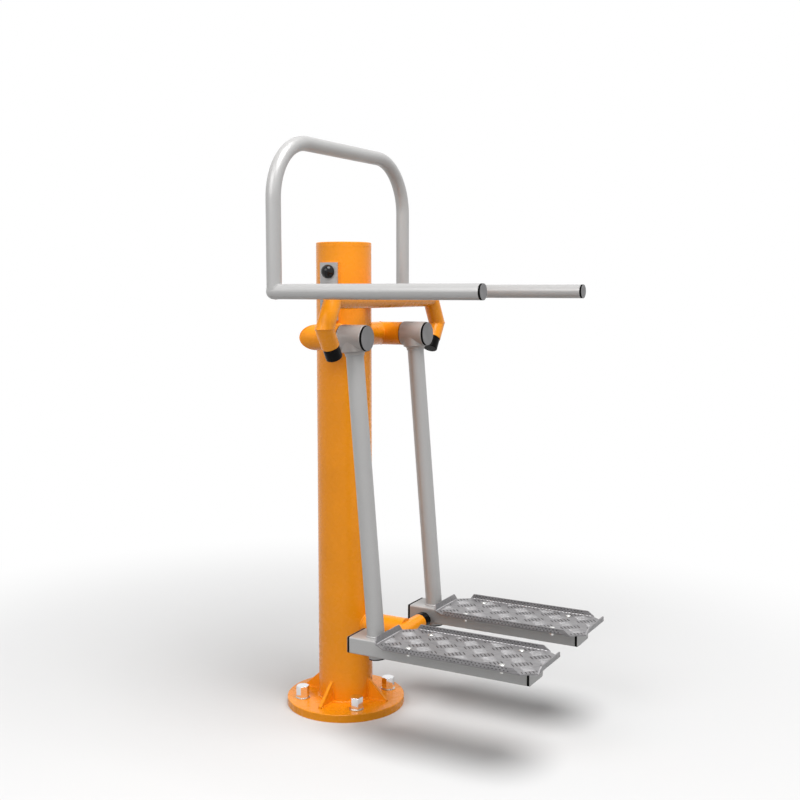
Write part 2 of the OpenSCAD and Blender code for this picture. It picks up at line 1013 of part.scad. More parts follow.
// Right-hand edge of a channel section: outside of the bend, the lip's tip, and
// back along its inside. The lip leans outward from vertical.
function channel_edge(flat, rise, lean) =
    let (centre = [flat / 2, fold_out],
        length = (tread_t + rise - fold_out + fold_out * sin(lean)) / cos(lean),
        tip = length * [sin(lean), cos(lean)],
        angles = [for (i = [0:fold_steps]) -90 + i * (90 - lean) / fold_steps],
        across = [for (a = angles) [cos(a), sin(a)]])
    [for (v = across) centre + fold_out * v,
        for (r = [fold_out, fold_r]) centre + r * across[fold_steps] + tip,
        for (i = [fold_steps:-1:0]) centre + fold_r * across[i]];

// Sheet channel: a flat between two bend lines with a lip turned up at each, drawn
// along Z with its underside at zero. The lips' corners are trimmed at both ends.
module channel(flat, rise, lean, run, trim_start, trim_end) {
    edge = channel_edge(flat, rise, lean);
    top = tread_t + rise + overrun;
    intersection() {
        linear_extrude(run)
            polygon([for (p = edge) p,
                for (i = [len(edge) - 1:-1:0]) [-edge[i][0], edge[i][1]]]);
        translate([flat, 0, 0])
            rotate([0, -90, 0])
                linear_extrude(2 * flat)
                    polygon([[0, -overrun], [run, -overrun], [run, tread_t],
                        [run - trim_end, top], [trim_start, top], [0, tread_t]]);
    }
}

module tread() {
    flat_x = tread_w / 2 - fold_out;
    flat_back = tread_back + fold_out;
    flat_front = tread_front - fold_out;
    side_start = tread_back + corner_l;
    side_run = tread_len - 2 * corner_l;
    end_x = tread_w / 2 - corner_w;
    corners = [[end_x, -flat_back], [flat_x, -side_start], [flat_x, -side_start - side_run],
        [end_x, -flat_front]];
    color("darkgray")
        translate([0, 0, -beam_drop])
            difference() {
                union() {
                    linear_extrude(tread_t)
                        polygon([for (p = corners) p,
                            for (i = [len(corners) - 1:-1:0]) [-corners[i][0], corners[i][1]]]);
                    translate([0, -side_start, 0])
                        in_front_plane()
                            channel(2 * flat_x, side_lip_h, 0, side_run, lip_trim_back,
                                lip_trim_front);
                    translate([end_x, -(flat_back + flat_front) / 2, 0])
                        in_side_plane()
                            channel(flat_front - flat_back, end_lip_h, end_lip_lean, 2 * end_x,
                                end_lip_trim, end_lip_trim);
                }
                at_tread_bolts()
                    translate([0, 0, -overrun])
                        cylinder(d = tread_bolt_d, h = tread_t + 2 * overrun);
            }
}

module at_tread_bolts() {
    for (side = [left, right], station = bolt_stations)
        translate([side * bolt_x, -station, 0])
            children();
}

module tread_lugs() {
    color("silver")
        translate([0, 0, -beam_drop])
            for (station = bolt_stations)
                both_sides()
                    difference() {
                        translate([0, -station - lug_len / 2, -lug_t])
                            cube([beam_w / 2 + lug_out, lug_len, lug_t]);
                        translate([0, 0, beam_drop])
                            beam_outer(beam_back, beam_front);
                        translate([bolt_x, -station, -lug_t - overrun])
                            cylinder(d = tread_bolt_d, h = lug_t + 2 * overrun);
                    }
}

module tread_bolts() {
    r = tread_head_d / 2;
    top = tread_t + tread_head_h;
    end = -lug_t - tread_nut_h - tread_bolt_proud;
    color("gainsboro")
        translate([0, 0, -beam_drop])
            at_tread_bolts()
                turned_up([[0, end], [tread_bolt_d / 2, end], [tread_bolt_d / 2, tread_t],
                    [r, tread_t], [r, top - tread_head_chamfer], [r - tread_head_chamfer, top],
                    [0, top]]);
}

module tread_nuts() {
    color("gainsboro")
        translate([0, 0, -beam_drop])
            at_tread_bolts()
                translate([0, 0, -lug_t])
                    mirror([0, 0, 1])
                        nut(tread_nut_af, tread_nut_h, tread_bolt_d);
}

base_flange();
post();
post_cap();
foot_gussets();
anchor_washers();
anchor_nuts();
axle_tube();
at_hub(left) axle();  // left_axle
at_hub(right) axle();  // right_axle
at_hub(left) bearing_inners();  // left_bearing_inners
at_hub(right) bearing_inners();  // right_bearing_inners
at_hub(left) bearing_balls();  // left_bearing_balls
at_hub(right) bearing_balls();  // right_bearing_balls
bearing_spacers();
axle_washers();
axle_bolts();
upper_stop_bracket();
upper_stop_caps();
lower_stop_bracket();
lower_stop_caps();
handrail_hoop();
mirror([1, 0, 0]) handle_bar();  // left_handle_bar
handle_bar();  // right_handle_bar
handrail_cross_arms();
handrail_pads();
handrail_plates();
handrail_studs();
handrail_washers();
handrail_nuts();
bolt_domes();
handle_end_rings();
handle_end_discs();
at_hub(left) hub();  // left_hub
at_hub(left) bearing_outers();  // left_bearing_outers
at_hub(left) bearing_seals();  // left_bearing_seals
at_hub(left) hub_ring();  // left_hub_ring
at_hub(left) hub_disc();  // left_hub_disc
at_hub(left) arm();  // left_arm
at_hub(left) arm_foot_plug();  // left_arm_foot_plug
at_hub(left) beam();  // left_beam
at_hub(left) beam_end_seals();  // left_beam_end_seals
at_hub(left) beam_end_plates();  // left_beam_end_plates
at_hub(left) tread();  // left_tread
at_hub(left) tread_lugs();  // left_tread_lugs
at_hub(left) tread_bolts();  // left_tread_bolts
at_hub(left) tread_nuts();  // left_tread_nuts
at_hub(right) hub();  // right_hub
at_hub(right) bearing_outers();  // right_bearing_outers
at_hub(right) bearing_seals();  // right_bearing_seals
at_hub(right) hub_ring();  // right_hub_ring
at_hub(right) hub_disc();  // right_hub_disc
at_hub(right) arm();  // right_arm
at_hub(right) arm_foot_plug();  // right_arm_foot_plug
at_hub(right) beam();  // right_beam
at_hub(right) beam_end_seals();  // right_beam_end_seals
at_hub(right) beam_end_plates();  // right_beam_end_plates
at_hub(right) tread();  // right_tread
at_hub(right) tread_lugs();  // right_tread_lugs
at_hub(right) tread_bolts();  // right_tread_bolts
at_hub(right) tread_nuts();  // right_tread_nuts
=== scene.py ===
"""Looks of the outdoor adductor and abductor: finishes, weld seams, treads and studio.

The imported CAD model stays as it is, and everything here is laid over it in its frame.
Lengths of the object are in millimetres, and MM turns them into Blender's metres. The
finishes count their waves in a metre, and lamps and camera are placed in metres.
"""
import json
import math

import bpy
from mathutils import Matrix, Vector


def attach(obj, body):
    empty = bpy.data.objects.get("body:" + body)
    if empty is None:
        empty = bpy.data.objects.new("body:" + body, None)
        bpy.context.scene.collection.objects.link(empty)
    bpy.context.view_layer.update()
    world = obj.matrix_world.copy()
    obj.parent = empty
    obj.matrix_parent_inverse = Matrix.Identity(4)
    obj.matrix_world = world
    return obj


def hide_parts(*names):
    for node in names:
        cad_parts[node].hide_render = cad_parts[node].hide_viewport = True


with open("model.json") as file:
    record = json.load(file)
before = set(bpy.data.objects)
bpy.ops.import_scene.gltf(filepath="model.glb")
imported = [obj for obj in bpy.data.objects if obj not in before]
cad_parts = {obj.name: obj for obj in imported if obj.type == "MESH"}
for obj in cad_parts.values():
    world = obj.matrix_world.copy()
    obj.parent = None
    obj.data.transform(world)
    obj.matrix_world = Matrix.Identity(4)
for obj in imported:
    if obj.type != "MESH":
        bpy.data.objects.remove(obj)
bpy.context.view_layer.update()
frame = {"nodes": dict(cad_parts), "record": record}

MM = 0.001
ORIGIN = Vector((0, 0, 0))
UP = Vector((0, 0, 1))
FORWARD = Vector((0, -1, 0))
RIGHT = Vector((1, 0, 0))
SIDES = {"left": -1, "right": 1}

# Post, its foot and its gussets
POST_R, BASE_TOP, CAP_SEAM_Z = 69.85, 20, 1185
GUSSET_REACH, GUSSET_H, GUSSET_T = 54, 54, 8

# Cross tube, hubs, arms and beams
HUB_X, HUB_Z = 153, 962.5
AXLE_TUBE_R, AXLE_TUBE_FWD = 30.15, 18.5
ARM_R, ARM_FWD, ARM_LEAN = 21.2, 121.3, math.radians(4.8)
BOSS_DROP = 40.6
BEAM_TOP_Z, BEAM_H = HUB_Z - 715.9, 40

# Brackets of the stops
STOP_R, STOP_FWD = 21.2, 121.9
UPPER_STEM_R, UPPER_Z, UPPER_CORNER_X = 19, HUB_Z + 91, HUB_X + 90
KNEE_X, KNEE_Z, LEG_ANGLE = HUB_X + 126.8, HUB_Z + 25.2, math.radians(31.4)
LOWER_STEM_R, LOWER_Z = 30.15, 217.5

# Handrail: the domed end of a bar begins DOME_SET behind the axis of its upright
RAIL_R, RAIL_X, RAIL_FWD, RAIL_Z = 17.6, 305, 2, HUB_Z + 110.1
DOME_SET = 1.6
CROSS_ARM_R, PLATE_OUTER = 16.85, 75.35

# Treads, with corners cut off by CORNER_L along the tread and CORNER_W across it
TREAD_BACK, TREAD_LEN, TREAD_W, TREAD_T = 215, 412, 180, 3
CORNER_L, CORNER_W = 33, 25


def link(obj):
    bpy.context.scene.collection.objects.link(obj)
    return obj


def finish_piece(obj, body, material):
    """Gives a new piece its material and its body."""
    obj.data.materials.clear()
    obj.data.materials.append(material)
    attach(obj, body)


class Skin:
    """Points and faces of one piece while it is put together, in millimetres."""

    def __init__(self):
        self.points = []
        self.faces = []

    def add(self, points, faces):
        start = len(self.points)
        self.points += [p * MM for p in points]
        self.faces += [[start + i for i in face] for face in faces]

    def object(self, name, smooth=True):
        data = bpy.data.meshes.new(name)
        data.from_pydata(self.points, [], self.faces)
        if smooth:
            data.shade_smooth()
        else:
            data.shade_flat()
        return link(bpy.data.objects.new(name, data))


# Materials


class Shader:
    """A Principled material with object coordinates and short calls for its nodes."""

    def __init__(self, name, color, roughness, metallic=0.0, specular=0.5):
        self.material = bpy.data.materials.new(name)
        self.material.use_nodes = True
        self.nodes = self.material.node_tree.nodes
        self.links = self.material.node_tree.links
        self.base = self.nodes["Principled BSDF"]
        self.color = color
        self.base.inputs["Base Color"].default_value = (*color, 1)
        self.base.inputs["Roughness"].default_value = roughness
        self.base.inputs["Metallic"].default_value = metallic
        self.base.inputs["Specular IOR Level"].default_value = specular
        self.place = self.nodes.new("ShaderNodeTexCoord").outputs["Object"]
        self.normal = None

    def stretched(self, scale):
        """Coordinates scaled along each axis, so that noise on them has a grain."""
        node = self.nodes.new("ShaderNodeMapping")
        node.inputs["Scale"].default_value = scale
        self.links.new(self.place, node.inputs["Vector"])
        return node.outputs["Vector"]

    def noise(self, scale, detail=3.0, place=None):
        """Soft noise, with scale waves in a metre of its coordinates."""
        node = self.nodes.new("ShaderNodeTexNoise")
        node.inputs["Scale"].default_value = scale
        node.inputs["Detail"].default_value = detail
        self.links.new(place or self.place, node.inputs["Vector"])
        return node.outputs["Fac"]

    def cells(self, scale):
        """Cells of one random shade each, scale of them in a metre."""
        node = self.nodes.new("ShaderNodeTexVoronoi")
        node.inputs["Scale"].default_value = scale
        self.links.new(self.place, node.inputs["Vector"])
        return node.outputs["Color"]

    def ranged(self, value, low, high, start=0.3, end=0.7):
        """value from start to end, mapped to low to high."""
        node = self.nodes.new("ShaderNodeMapRange")
        node.inputs["From Min"].default_value = start
        node.inputs["From Max"].default_value = end
        node.inputs["To Min"].default_value = low
        node.inputs["To Max"].default_value = high
        self.links.new(value, node.inputs["Value"])
        return node.outputs["Result"]

    def tint(self, value, dark, light, start=0.3, end=0.7):
        """Base colour between two shades of itself, by value from start to end."""
        factor = self.ranged(value, 0, 1, start, end)
        node = self.nodes.new("ShaderNodeMix")
        node.data_type = "RGBA"
        self.links.new(factor, node.inputs["Factor"])
        for socket, shade in (("A", dark), ("B", light)):
            color = tuple(min(1.0, c * shade) for c in self.color)
            node.inputs[socket].default_value = (*color, 1)
        self.links.new(node.outputs["Result"], self.base.inputs["Base Color"])

    def rough(self, value, low, high):
        self.links.new(self.ranged(value, low, high), self.base.inputs["Roughness"])

    def bump(self, height, depth_mm, strength):
        """One more layer of relief, on top of those before it."""
        node = self.nodes.new("ShaderNodeBump")
        node.inputs["Strength"].default_value = strength
        node.inputs["Distance"].default_value = depth_mm * MM
        self.links.new(height, node.inputs["Height"])
        if self.normal:
            self.links.new(self.normal, node.inputs["Normal"])
        self.normal = node.outputs["Normal"]
        self.links.new(self.normal, self.base.inputs["Normal"])


def powder_coat(name, color, roughness):
    """Paint baked on from powder: a fine orange peel and very faint clouds."""
    clouds, sheen, peel = 7.0, 60.0, 2600.0
    s = Shader(name, color, roughness, specular=0.3)
    s.tint(s.noise(clouds, 2.0), 0.955, 1.03)
    s.rough(s.noise(sheen), roughness - 0.01, roughness + 0.015)
    s.bump(s.noise(peel, 2.0), 0.002, 0.05)
    return s.material


def metallic_coat(name, color, roughness):
    """Silver powder coat: mica flakes glint in a grey paint."""
    flakes, sheen, waves, peel = 2400.0, 45.0, 900.0, 3000.0
    s = Shader(name, color, roughness, metallic=0.2)
    s.tint(s.cells(flakes), 0.90, 1.08, 0.0, 1.0)
    s.rough(s.noise(sheen), roughness - 0.04, roughness + 0.06)
    s.bump(s.noise(waves, 1.0), 0.02, 0.3)
    s.bump(s.noise(peel, 2.0), 0.02, 0.4)
    return s.material


def worked_metal(name, color, roughness, grain=(40, 40, 900), spangle=0.0):
    """Bare or zinc-plated metal with drawn grain, and spangles where it has them."""
    s = Shader(name, color, roughness, metallic=1.0)
    lines = s.noise(1.0, 6.0, s.stretched(grain))
    s.tint(lines, 0.86, 1.08)
    s.rough(lines, max(0.04, roughness - 0.08), roughness + 0.10)
    s.bump(lines, 0.02, 0.6)
    if spangle:
        s.bump(s.cells(spangle), 0.02, 0.5)
    return s.material


def tread_metal(name, color, roughness):
    """Embossed sheet: dull, scuffed steel that is neither painted nor polished."""
    grain, sheen, pits = (260, 34, 260), 90.0, 1500.0
    s = Shader(name, color, roughness, metallic=0.5)
    scuffs = s.noise(1.0, 8.0, s.stretched(grain))
    s.tint(scuffs, 0.80, 1.16)
    s.rough(s.noise(sheen, 5.0), roughness - 0.08, roughness + 0.12)
    s.bump(scuffs, 0.03, 0.4)
    s.bump(s.noise(pits), 0.03, 0.5)
    return s.material


def moulded(name, color, roughness, grain_mm=0.03, specular=0.5):
    """Rubber or plastic out of a mould, with a fine even grain."""
    clouds, sheen, grain = 30.0, 120.0, 1800.0
    s = Shader(name, color, roughness, specular=specular)
    s.tint(s.noise(clouds), 0.85, 1.2)
    s.rough(s.noise(sheen), roughness * 0.85, min(1.0, roughness * 1.15))
    s.bump(s.noise(grain, 1.0), grain_mm, 0.5)
    return s.material


def plated(name, color, roughness):
    """Bright plating: smooth, with the faintest haze."""
    clouds, haze, waves = 200.0, 400.0, 900.0
    s = Shader(name, color, roughness, metallic=1.0)
    s.tint(s.noise(clouds), 0.95, 1.0)
    s.rough(s.noise(haze), roughness, roughness + 0.08)
    s.bump(s.noise(waves, 1.0), 0.01, 0.3)
    return s.material


MATERIALS = {
    "orange_paint": powder_coat("orange_powder_coat", (0.88, 0.300, 0.006), 0.27),
    "silver_paint": metallic_coat("silver_powder_coat", (0.42, 0.416, 0.412), 0.36),
    "hub_paint": metallic_coat("warm_grey_powder_coat", (0.39, 0.364, 0.348), 0.42),
    "tread_steel": tread_metal("embossed_sheet", (0.25, 0.244, 0.25), 0.42),
    "stop_rubber": moulded("stop_rubber", (0.003, 0.003, 0.003), 0.26, 0.01, specular=0.07),
    "seal_black": moulded("black_seal", (0.002, 0.002, 0.002), 0.6, specular=0.05),
    "grey_plastic": moulded("grey_end_plate", (0.17, 0.167, 0.17), 0.45),
    "gloss_black": moulded("gloss_black", (0.005, 0.005, 0.006), 0.10, 0.004, specular=0.3),
    "chrome": plated("bright_chrome", (0.86, 0.86, 0.87), 0.07),
    "zinc": worked_metal("zinc_plate", (0.66, 0.66, 0.64), 0.30, (300, 300, 300), 900.0),
    "turned_steel": worked_metal("turned_steel", (0.42, 0.42, 0.42), 0.34),
    "bearing_steel": worked_metal("bearing_steel", (0.58, 0.58, 0.58), 0.18),
}

# The treads' raised pattern: the folds and the bars are painted lighter than the sheet as a
# painted highlight, and the teeth darker as painted shade
# Folds: a pale colour that is a painted highlight along each bend
FOLD_HIGHLIGHT_METAL = tread_metal("folds_painted_highlight", (0.60, 0.59, 0.60), 0.30)
# Bars: a colour lighter than the sheet, as a painted highlight where their slopes catch the light
BAR_HIGHLIGHT_METAL = tread_metal("pressed_bars_painted_highlight", (0.30, 0.295, 0.30), 0.38)
# Teeth: a colour much darker than the sheet, as painted shade between the ribs and on the lips
TOOTH_SHADE_METAL = tread_metal("teeth_painted_shade", (0.085, 0.082, 0.085), 0.5)


def dress_cad_nodes():
    slots = {s["node"]: s["material_slot"] for s in frame["record"]["subparts"]}
    for name, obj in frame["nodes"].items():
        for item in obj.material_slots:
            item.material = MATERIALS[slots[name]]


# Widths of the softened edges: of the frame's pieces, and of those on each pendulum
EDGES = {
    "foot_gussets": 0.8, "handrail_plates": 0.7, "handrail_pads": 0.15,
    "anchor_nuts": 0.5, "anchor_washers": 0.4, "axle_bolts": 0.4,
    "bolt_domes": 0.3, "handle_end_discs": 0.4, "handle_end_rings": 0.4,
    "lower_stop_caps": 0.5, "upper_stop_caps": 0.5, "post_cap": 0.3, "base_flange": 0.3,
}
SIDE_EDGES = {
    "beam_end_plates": 0.4, "tread_lugs": 0.4, "hub_disc": 0.4, "hub_ring": 0.4,
    "tread_nuts": 0.3, "arm_foot_plug": 0.6,
}
TREAD_EDGE, EDGE_STEPS = 0.6, 2
SAME_POINT, SAME_PLANE, SHARP = 0.001, math.radians(0.5), math.radians(32)


def soften_edges(obj, width):
    """Rounds the sharp edges of a CAD piece without touching its mesh."""
    weld = obj.modifiers.new("weld", "WELD")
    weld.merge_threshold = SAME_POINT * MM
    flat = obj.modifiers.new("flat", "DECIMATE")
    flat.decimate_type = "DISSOLVE"
    flat.angle_limit = SAME_PLANE
    bevel = obj.modifiers.new("bevel", "BEVEL")
    bevel.width = width * MM
    bevel.segments = EDGE_STEPS
    bevel.limit_method = "ANGLE"
    bevel.angle_limit = SHARP
    obj.modifiers.new("shade", "WEIGHTED_NORMAL")


def soften_cad_edges():
    widths = dict(EDGES)
    for side in SIDES:
        widths.update({f"{side}_{n}": w for n, w in SIDE_EDGES.items()})
    for name, width in widths.items():
        soften_edges(frame["nodes"][name], width)


# Weld seams: each is its points, its kind of bead, and whether it runs round


BEAD_R = {
    "cross_tube": 2.4, "cross_tube_corner": 1.1, "stop_corner": 1.0, "stem_on_bar": 1.8,
    "upper_stem": 2.2, "lower_stem": 2.4, "post_foot": 3.2, "post_lid": 0.9, "gusset": 2.2,
    "upright": 1.3, "cross_arm": 1.6, "rail_plate": 2.2, "boss": 1.5, "beam": 2.3,
}
BEAD_SIDES, BEAD_STEP, SEAM_POINTS = 10, 0.8, 180
RIPPLE_LEN, RIPPLE_SHARE = 3.2, 0.07
# How far the middle of a bead lies off the metal, and how far the lid's lies in it
SEAM_OFF, GUSSET_OFF, BOSS_OFF, FOOT_OFF, LID_SINK = 0.8, 0.6, 0.7, 1, 0.55
# How far a seam is sunk where its bead would stand out past the handrail
FLUSH = 2.0


def angles(count=SEAM_POINTS):
    return [2 * math.pi * k / count for k in range(count)]


def bead_faces(circles, closed):
    """Quads between circles of points, which run round or end in a flat face each."""
    count = len(circles)
    shift = 0
    if closed:
        start = circles[0][0]
        shift = min(range(BEAD_SIDES), key=lambda k: (circles[-1][k] - start).length)
    faces = []
    for i in range(count if closed else count - 1):
        step = shift if i == count - 1 else 0
        a, b = i * BEAD_SIDES, (i + 1) % count * BEAD_SIDES
        for k in range(BEAD_SIDES):
            here, there = (k + step) % BEAD_SIDES, (k + 1 + step) % BEAD_SIDES
            faces.append((a + here, a + there, b + (k + 1) % BEAD_SIDES, b + k))
    if not closed:
        last = (count - 1) * BEAD_SIDES
        faces.append(list(range(BEAD_SIDES))[::-1])
        faces.append([last + k for k in range(BEAD_SIDES)])
    return faces


def add_bead(skin, points, radius, closed):
    """Rippled round bead along points."""
    count = len(points)
    circles, run, across = [], 0.0, None
    for i, p in enumerate(points):
        ahead = points[(i + 1) % count] if closed or i < count - 1 else p
        behind = points[i - 1] if closed or i else p
        along = (ahead - behind).normalized()
        across = (across - along * across.dot(along)) if across else along.orthogonal()
        across.normalize()
        other = along.cross(across)
        run += (p - points[i - 1]).length if i else 0.0
        r = radius * (1 + RIPPLE_SHARE * math.sin(2 * math.pi * run / RIPPLE_LEN))
        circles.append([p + r * (math.cos(a) * across + math.sin(a) * other)
                        for a in angles(BEAD_SIDES)])
    skin.add([p for circle in circles for p in circle], bead_faces(circles, closed))


def weld_piece(name, body, slot, seams):
    """One piece with a bead on every seam."""
    skin = Skin()
    for points, bead, closed in seams:
        add_bead(skin, points, BEAD_R[bead], closed)
    finish_piece(skin.object(name), body, MATERIALS[slot])


def evenly(points):
    """The same open path with points a short step apart."""
    result = []
    for a, b in zip(points, points[1:]):
        n = max(1, round((b - a).length / BEAD_STEP))
        result += [a.lerp(b, k / n) for k in range(n)]
    return result + [points[-1]]


def ring(centre, axis, radius):
    across = axis.orthogonal().normalized()
    other = axis.cross(across).normalized()
    return [centre + radius * (math.cos(a) * across + math.sin(a) * other) for a in angles()]


def saddle(start, axis, radius, main_point, main_axis, main_radius):
    """Where a tube that runs along axis from start meets the surface of a bigger one."""
    across = axis.cross(main_axis).normalized()
    other = axis.cross(across).normalized()
    points = []
    for a in angles():
        p = start + radius * (math.cos(a) * across + math.sin(a) * other)
        w = (p - main_point) - main_axis * (p - main_point).dot(main_axis)
        d = axis - main_axis * axis.dot(main_axis)
        b, c = w.dot(d), w.length_squared - main_radius ** 2
        root = max(0.0, b * b - d.length_squared * c)
        points.append(p + axis * (-b + math.sqrt(root)) / d.length_squared)
    return points


def mitre(corner, before, after, radius):
    """Rim of the plane in which two tubes of one size meet at a corner."""
    axis = before.normalized()
    normal = (axis + after.normalized()).normalized()
    across = before.cross(after).normalized()
    other = axis.cross(across)
    points = []
    for a in angles():
        p = radius * (math.cos(a) * across + math.sin(a) * other)
        points.append(corner + p - axis * (p.dot(normal) / axis.dot(normal)))
    return points


def cross_tube_seams(side):
    out = Vector((side, 0, 0))
    middle = Vector((0, -AXLE_TUBE_FWD, HUB_Z))
    corner = Vector((side * HUB_X, -AXLE_TUBE_FWD, HUB_Z))
    return [(saddle(middle, out, AXLE_TUBE_R, ORIGIN, UP, POST_R), "cross_tube", True),
            (mitre(corner, out, FORWARD, AXLE_TUBE_R), "cross_tube_corner", True)]


def upper_stop_seams(side):
    out = Vector((side, 0, 0))
    corner = Vector((side * UPPER_CORNER_X, -STOP_FWD, UPPER_Z))
    knee = Vector((side * KNEE_X, -STOP_FWD, KNEE_Z))
    leg = Vector((-side * math.sin(LEG_ANGLE), 0, -math.cos(LEG_ANGLE)))
    return [(mitre(corner, out, knee - corner, STOP_R), "stop_corner", True),
            (mitre(knee, knee - corner, leg, STOP_R), "stop_corner", True)]


def stem_seams():
    """Where the stems of both stop brackets meet the post, and the upper one its bar."""
    upper, lower = Vector((0, 0, UPPER_Z)), Vector((0, 0, LOWER_Z))
    bar = Vector((0, -STOP_FWD, UPPER_Z))
    return [(saddle(upper, FORWARD, UPPER_STEM_R, ORIGIN, UP, POST_R), "upper_stem", True),
            (saddle(bar, -FORWARD, UPPER_STEM_R, bar, RIGHT, STOP_R), "stem_on_bar", True),
            (saddle(lower, FORWARD, LOWER_STEM_R, ORIGIN, UP, POST_R), "lower_stem", True)]


def post_seams():
    """Round the foot of the post, and round the joint of its lid."""
    foot, lid = Vector((0, 0, BASE_TOP + FOOT_OFF)), Vector((0, 0, CAP_SEAM_Z))
    return [(ring(foot, UP, POST_R + FOOT_OFF), "post_foot", True),
            (ring(lid, UP, POST_R - LID_SINK), "post_lid", True)]


def gusset_seams():
    """Beads along the foot and the upright edge of each gusset, on both of its faces."""
    seams = []
    for quarter in range(4):
        turn = Matrix.Rotation(quarter * math.pi / 2, 3, "Z")
        for face in (-1, 1):
            y = face * (GUSSET_T / 2 + GUSSET_OFF)
            x = math.sqrt(POST_R ** 2 - y ** 2) + GUSSET_OFF
            low = BASE_TOP + SEAM_OFF
            path = [Vector((x, y, BASE_TOP + GUSSET_H)), Vector((x, y, low)),
                    Vector((POST_R + GUSSET_REACH, y, low))]
            seams.append((evenly([turn @ p for p in path]), "gusset", False))
    return seams


def past_dome(y):
    """How far a place behind an upright's axis is into the domed end of its bar."""
    return max(0.0, y - DOME_SET)


def upright_foot(corner, side):
    """Where an upright of the handrail stands on a bar and its domed end."""
    points = []
    for a in angles():
        x, y = RAIL_R * math.cos(a), RAIL_R * math.sin(a)
        z = math.sqrt(y * y - past_dome(y) ** 2)
        x = side * min(side * x, RAIL_R - FLUSH)
        points.append(corner + Vector((x, y, z)))
    return points


def cross_arm_end(corner, side):
    """Where a cross arm meets a bar and the upright on it."""
    points = []
    for a in angles():
        y, z = CROSS_ARM_R * math.cos(a), CROSS_ARM_R * math.sin(a)
        on_bar = math.sqrt(max(0.0, RAIL_R ** 2 - z * z - past_dome(y) ** 2))
        on_upright = math.sqrt(RAIL_R ** 2 - y * y) if z > 0 else 0.0
        points.append(corner + Vector((-side * max(on_bar, on_upright), y, z)))
    return points


def handrail_seams(side):
    corner = Vector((side * RAIL_X, -RAIL_FWD, RAIL_Z))
    plate = Vector((side * PLATE_OUTER, -RAIL_FWD, RAIL_Z))
    rim = ring(plate, Vector((side, 0, 0)), CROSS_ARM_R + SEAM_OFF)
    return [(upright_foot(corner, side), "upright", True),
            (cross_arm_end(corner, side), "cross_arm", True),
            (rim, "rail_plate", True)]


def frame_welds():
    orange, silver = [], []
    for side in SIDES.values():
        orange += cross_tube_seams(side) + upper_stop_seams(side)
        silver += handrail_seams(side)
    orange += stem_seams() + post_seams() + gusset_seams()
    weld_piece("frame_welds", "frame", "orange_paint", orange)
    weld_piece("handrail_welds", "frame", "silver_paint", silver)


def arm_point(side, drop):
    """Point on an arm's axis, at a distance below the hub measured along the arm."""
    return Vector((side * HUB_X, -ARM_FWD - drop * math.sin(ARM_LEAN),
                   HUB_Z - drop * math.cos(ARM_LEAN)))


def beam_seam(side, level, lift):
    """Round an arm where it goes through the top or the underside of its beam."""
    slant, radius = math.cos(ARM_LEAN), ARM_R + SEAM_OFF
    centre = arm_point(side, (HUB_Z - level) / slant)
    return [centre + Vector((math.cos(a) * radius, math.sin(a) * radius / slant, lift))
            for a in angles()]


def pendulum_welds():
    down = Vector((0, -math.sin(ARM_LEAN), -math.cos(ARM_LEAN)))
    for name, side in SIDES.items():
        seams = [(ring(arm_point(side, BOSS_DROP), down, ARM_R + BOSS_OFF), "boss", True),
                 (beam_seam(side, BEAM_TOP_Z, SEAM_OFF), "beam", True),
                 (beam_seam(side, BEAM_TOP_Z - BEAM_H, -SEAM_OFF), "beam", True)]
        weld_piece(f"{name}_arm_welds", f"{name}_pendulum", "silver_paint", seams)


# Treads


def tread_sheet(name):
    """The tread's own sheet, with its edges broken."""
    source = frame["nodes"][f"{name}_tread"]
    sheet = link(bpy.data.objects.new(f"{name}_tread_sheet", source.data.copy()))
    sheet.data.name = f"{name}_tread_sheet"
    soften_edges(sheet, TREAD_EDGE)
    finish_piece(sheet, f"{name}_pendulum", MATERIALS["tread_steel"])
    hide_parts(f"{name}_tread")


DOME_SIDES, DOME_RINGS, DOME_ROOT = 12, 3, 0.25


def dome():
    """Half a unit ball on a short root, as points and faces."""
    climbs = [math.pi / 2 * k / DOME_RINGS for k in range(DOME_RINGS)]
    levels = [(1.0, -DOME_ROOT)] + [(math.cos(a), math.sin(a)) for a in climbs]
    points, faces = [], []
    for radius, height in levels:
        for a in angles(DOME_SIDES):
            points.append(Vector((radius * math.cos(a), radius * math.sin(a), height)))
    points.append(Vector((0, 0, 1)))
    for level in range(len(levels) - 1):
        for k in range(DOME_SIDES):
            a, b = level * DOME_SIDES + k, level * DOME_SIDES + (k + 1) % DOME_SIDES
            faces.append((a, b, b + DOME_SIDES, a + DOME_SIDES))
    last = (len(levels) - 1) * DOME_SIDES
    for k in range(DOME_SIDES):
        faces.append((last + k, last + (k + 1) % DOME_SIDES, len(points) - 1))
    faces.append(list(range(DOME_SIDES))[::-1])
    return points, faces


DOME_POINTS, DOME_FACES = dome()


def ridge(skin, centre, along, normal, size):
    """Lens-shaped rib of length, width and height that rises out of a surface."""
    length, width, height = size
    across = normal.cross(along).normalized()
    reach = (along * length / 2, across * width / 2, normal * height)
    skin.add([centre + sum((reach[i] * p[i] for i in range(3)), Vector())
              for p in DOME_POINTS], DOME_FACES)


# Pattern of the flat: two groups of ribs repeat on a slanted lattice, in distances
# forward and inward on the tread
LATTICE, LATTICE_REACH = (Vector((60, 25)), Vector((-41, 40))), 8
RIB_ANGLE = math.radians(42)
RIB_RUN = Vector((math.cos(RIB_ANGLE), math.sin(RIB_ANGLE)))
RIB_CROSS = Vector((-RIB_RUN.y, RIB_RUN.x))
CROSS_RIBS = {"at": Vector((410, -35.75)), "count": 6, "pitch": 8.8, "length": 22,
              "stack": RIB_RUN, "along": RIB_CROSS}
LONG_RIBS = {"at": Vector((392, -15)), "count": 5, "pitch": 6.2, "length": 36,
             "stack": RIB_CROSS, "along": RIB_RUN}
RIB_W, RIB_RISE = 3.4, 1.0
